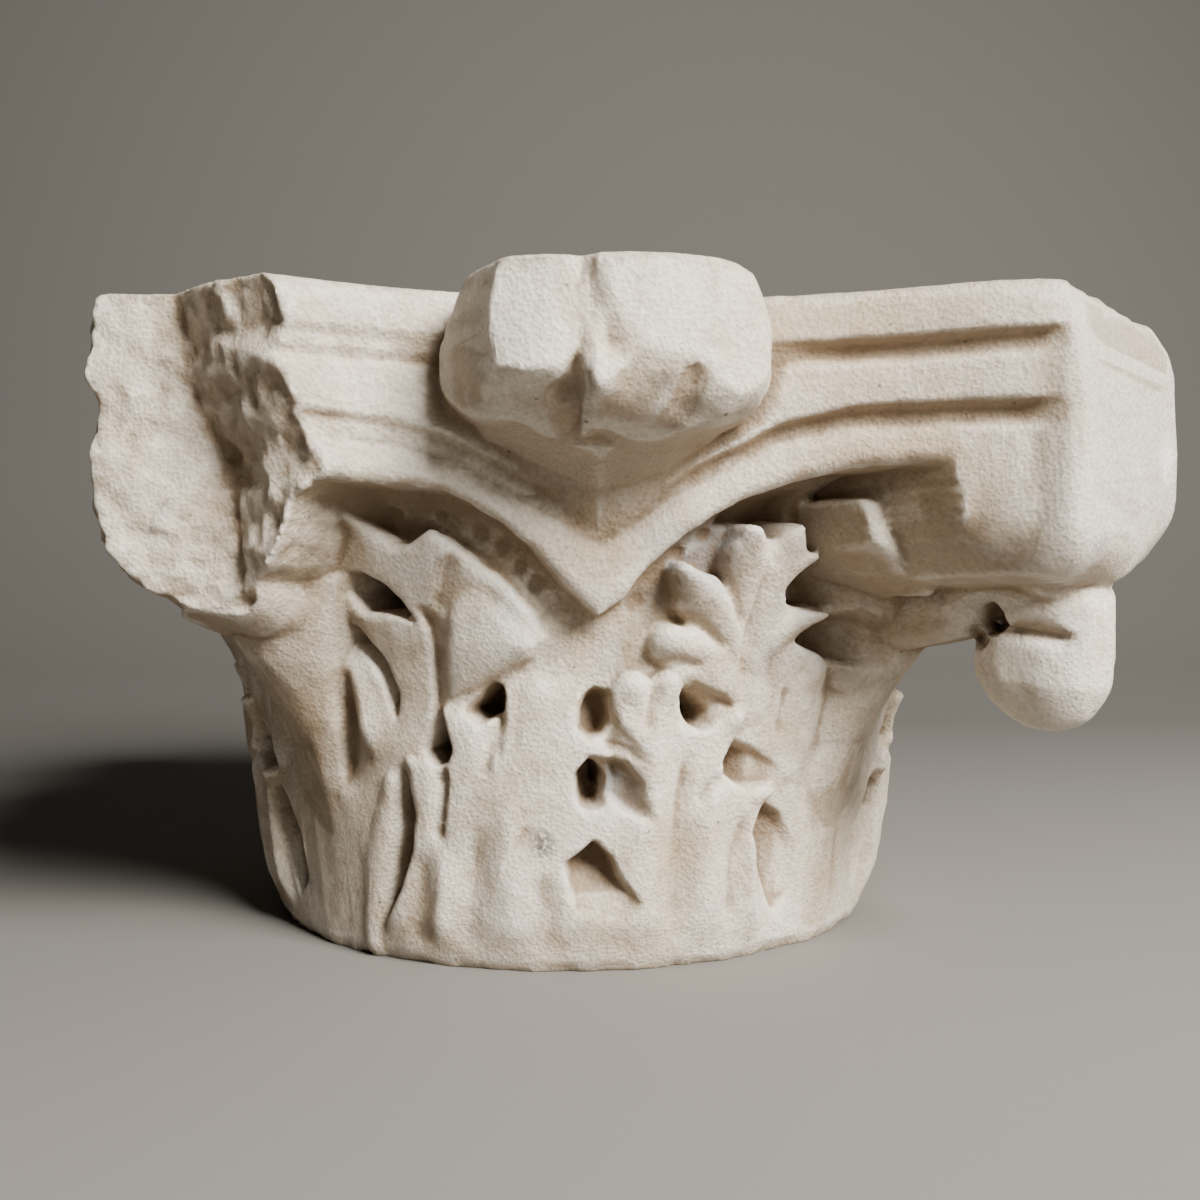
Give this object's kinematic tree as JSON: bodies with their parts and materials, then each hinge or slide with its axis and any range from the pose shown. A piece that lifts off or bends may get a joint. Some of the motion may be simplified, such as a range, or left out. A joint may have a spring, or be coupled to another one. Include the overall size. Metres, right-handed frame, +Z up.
{
  "type": "corinthian capital",
  "caption": "Small carved marble column capital with acanthus leaves, a boss on each side of a hollow-sided abacus, corner volutes and one broken corner.",
  "frame": {"origin": "centre of the round lower bed, which sits on the shaft", "axes": "+Z up to the upper bed, the front looks along -Y, +X to the right as seen from the front"},
  "size_m": [0.3323, 0.34, 0.176],
  "materials": {
    "marble": "weathered warm white marble, matt with a faint sparkle of coarse crystals"
  },
  "bodies": {
    "root": {"capital": "marble"}
  },
  "joints": []
}
